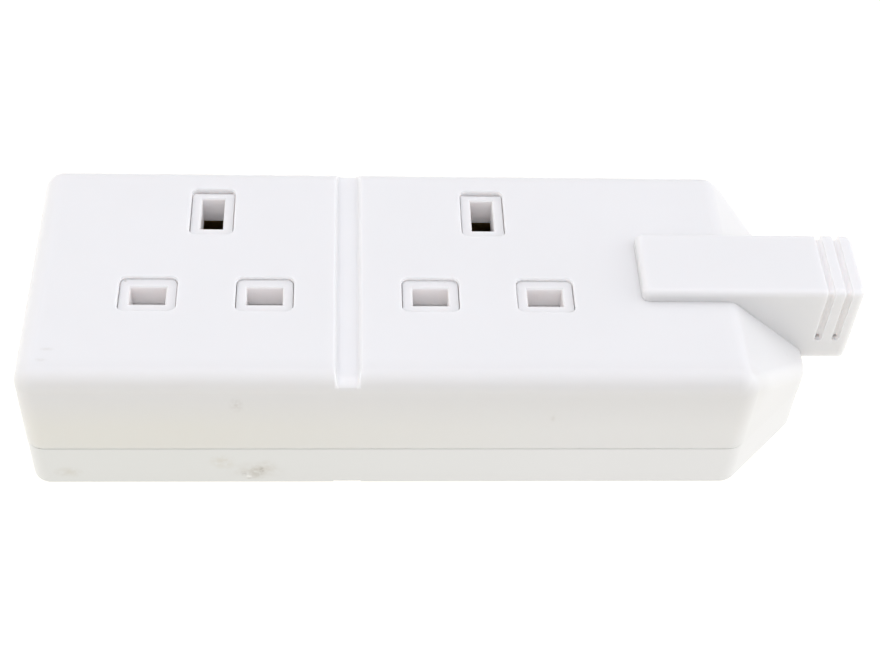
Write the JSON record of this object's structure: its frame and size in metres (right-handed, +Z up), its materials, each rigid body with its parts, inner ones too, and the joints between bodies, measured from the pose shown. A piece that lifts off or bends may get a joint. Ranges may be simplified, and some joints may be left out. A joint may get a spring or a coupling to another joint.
{
  "type": "two-gang trailing socket",
  "caption": "Rewireable two-gang trailing socket with shuttered flat-pin outlets in the top and a grooved cable outlet on a bevelled end.",
  "frame": {"origin": "centre of the overall outline, on the underside", "axes": "+X along the body towards the cable outlet, +Y from the live and neutral row towards the earth row, +Z up out of the socket faces"},
  "size_m": [0.1616, 0.057, 0.0342],
  "materials": {
    "housing": "satin gloss white",
    "base": "satin white, slightly warm",
    "insert": "satin gloss white",
    "shutter": "satin off-white",
    "carrier": "matt off-white",
    "clamp": "matt off-white",
    "spring_steel": "drawn wire",
    "screw_steel": "zinc plated",
    "busbar_brass": "rolled, dull",
    "contact_brass": "rolled",
    "terminal_brass": "machined",
    "rivet_brass": "formed heads"
  },
  "bodies": {
    "housing": {"upper_housing": "housing", "base_cover": "base", "socket_insert_1": "insert", "socket_insert_2": "insert", "contact_carrier": "carrier", "shutter_spring_1": "spring_steel", "shutter_spring_2": "spring_steel", "cord_clamp": "clamp", "contact_rivets": "rivet_brass", "live_busbar": "busbar_brass", "neutral_busbar": "busbar_brass", "earth_busbar": "busbar_brass", "live_contact_1": "contact_brass", "live_contact_2": "contact_brass", "neutral_contact_1": "contact_brass", "neutral_contact_2": "contact_brass", "earth_contact_1": "contact_brass", "earth_contact_2": "contact_brass", "live_terminal": "terminal_brass", "neutral_terminal": "terminal_brass", "earth_terminal": "terminal_brass", "terminal_screws": "screw_steel", "cord_clamp_screws": "screw_steel", "carrier_screws": "screw_steel", "housing_screws": "screw_steel"},
    "shutter_1": {"shutter_1": "shutter"},
    "shutter_2": {"shutter_2": "shutter"}
  },
  "joints": [
    {"name": "shutter_1_slide", "type": "slide", "parent": "housing", "child": "shutter_1", "axis": [0, -1, 0], "range_m": [0, 0.0054], "stiffness_N_per_m": 120, "springref_m": -0.006, "deforming": ["shutter_spring_1"]},
    {"name": "shutter_2_slide", "type": "slide", "parent": "housing", "child": "shutter_2", "axis": [0, -1, 0], "range_m": [0, 0.0054], "stiffness_N_per_m": 120, "springref_m": -0.006, "deforming": ["shutter_spring_2"]}
  ]
}
